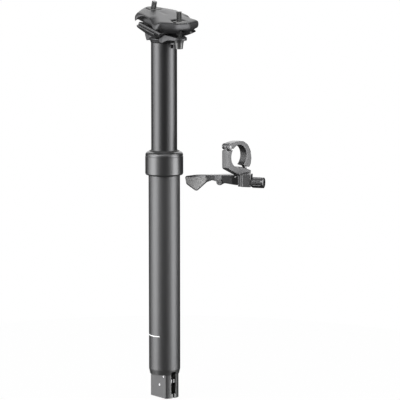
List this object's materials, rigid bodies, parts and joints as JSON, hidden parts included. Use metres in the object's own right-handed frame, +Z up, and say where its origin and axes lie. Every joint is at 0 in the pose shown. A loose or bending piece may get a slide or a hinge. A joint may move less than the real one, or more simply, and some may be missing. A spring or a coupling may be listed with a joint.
{
  "type": "dropper seatpost",
  "caption": "Cable-operated dropper seatpost with a sliding stanchion, two-bolt saddle clamp, foot actuator and a separate under-bar thumb lever on its hinged clamp.",
  "frame": {"origin": "on the post axis at the underside of the seal collar, where the frame's seat tube ends", "axes": "+Z up along the post, +X towards the front of the bicycle, +Y to its left"},
  "size_m": [0.0974, 0.103, 0.3909],
  "materials": {
    "tube_black": "satin black anodised",
    "forging_black": "bead-blasted black anodised",
    "collar_black": "glossier black anodised",
    "housing_grey": "matt dark grey anodised",
    "bolt_black": "black oxide steel",
    "steel": "plain steel",
    "nut_silver": "dull nickel-plated steel",
    "bearing_brass": "plain brass",
    "inner_aluminium": "plain machined",
    "seal_rubber": "matt"
  },
  "bodies": {
    "lower_post": {"outer_tube": "tube_black", "seal_collar": "collar_black", "wiper_seal": "seal_rubber", "upper_bushing": "bearing_brass", "bushing_snap_ring": "steel", "actuator_housing": "housing_grey", "foot_o_ring": "seal_rubber", "cam_pivot_pin": "steel", "cam_stop_pin": "steel", "piston_rod": "steel", "rod_nut": "steel", "gas_piston": "bearing_brass", "piston_seal": "seal_rubber", "remote_bracket": "forging_black", "clamp_strap": "forging_black", "strap_hinge_pin": "steel", "strap_bolt": "bolt_black", "lever_pivot_screw": "steel", "lever_bushing": "bearing_brass", "adjuster_stem": "steel"},
    "cam": {"actuator_cam": "steel"},
    "valve": {"valve_push_rod": "steel"},
    "upper_post": {"stanchion": "tube_black", "post_head": "forging_black", "lower_bushing": "bearing_brass", "left_key": "bearing_brass", "rear_key": "bearing_brass", "front_key": "bearing_brass", "stanchion_snap_ring": "steel", "gas_cylinder": "inner_aluminium", "cylinder_gland": "inner_aluminium", "rod_seal": "seal_rubber", "cylinder_cap": "inner_aluminium"},
    "gas_separator": {"floating_piston": "inner_aluminium", "floating_piston_seal": "seal_rubber"},
    "saddle_clamp": {"lower_cradle": "forging_black", "upper_yoke": "forging_black"},
    "front_nut": {"front_barrel_nut": "nut_silver"},
    "rear_nut": {"rear_barrel_nut": "nut_silver"},
    "front_bolt": {"front_clamp_bolt": "bolt_black", "front_bolt_washer": "nut_silver"},
    "rear_bolt": {"rear_clamp_bolt": "bolt_black", "rear_bolt_washer": "nut_silver"},
    "lever": {"remote_lever": "forging_black", "cable_anchor_screw": "steel"},
    "adjuster": {"cable_adjuster": "collar_black"}
  },
  "joints": [
    {"name": "post_drop", "type": "slide", "parent": "lower_post", "child": "upper_post", "axis": [0, 0, 1], "range_m": [-0.1, 0]},
    {"name": "gas_separator_slide", "type": "slide", "parent": "upper_post", "child": "gas_separator", "axis": [0, 0, 1], "range_m": [0, 0.025]},
    {"name": "cam_turn", "type": "hinge", "parent": "lower_post", "child": "cam", "pos_m": [0.0024, 0, -0.2087], "axis": [0, 1, 0], "range_deg": [0, 18]},
    {"name": "valve_slide", "type": "slide", "parent": "lower_post", "child": "valve", "axis": [0, 0, 1], "range_m": [0, 0.000691]},
    {"name": "saddle_tilt", "type": "hinge", "parent": "upper_post", "child": "saddle_clamp", "pos_m": [0.0034, 0, 0.1555], "axis": [0, 1, 0], "range_deg": [-6, 6]},
    {"name": "front_nut_turn", "type": "hinge", "parent": "saddle_clamp", "child": "front_nut", "pos_m": [0.02373, 0, 0.15024], "axis": [0, 1, 0], "range_deg": [-6, 6]},
    {"name": "rear_nut_turn", "type": "hinge", "parent": "saddle_clamp", "child": "rear_nut", "pos_m": [-0.01693, 0, 0.16076], "axis": [0, 1, 0], "range_deg": [-6, 6]},
    {"name": "front_bolt_screw", "type": "slide", "parent": "front_nut", "child": "front_bolt", "axis": [0, 0, 1], "range_m": [-0.00213, 0.00213]},
    {"name": "rear_bolt_screw", "type": "slide", "parent": "rear_nut", "child": "rear_bolt", "axis": [0.2504, 0, 0.9681], "range_m": [-0.0022, 0.0022]},
    {"name": "lever_swing", "type": "hinge", "parent": "lower_post", "child": "lever", "pos_m": [0.04222, 0.06349, -0.0074], "axis": [0, 0, -1], "range_deg": [0, 25]},
    {"name": "adjuster_spin", "type": "hinge", "parent": "lower_post", "child": "adjuster", "pos_m": [0.04591, 0.05851, -0.0074], "axis": [0.8039, 0.5948, 0], "continuous": true}
  ],
  "couplings": [
    {"joint": "gas_separator_slide", "follows": "post_drop", "ratio": -0.25},
    {"joint": "cam_turn", "follows": "valve_slide", "rad_per_m": 454.55},
    {"joint": "front_nut_turn", "follows": "saddle_tilt", "ratio": -1},
    {"joint": "rear_nut_turn", "follows": "saddle_tilt", "ratio": -1},
    {"joint": "front_bolt_screw", "follows": "saddle_tilt", "m_per_rad": 0.02033},
    {"joint": "rear_bolt_screw", "follows": "saddle_tilt", "m_per_rad": -0.021}
  ]
}
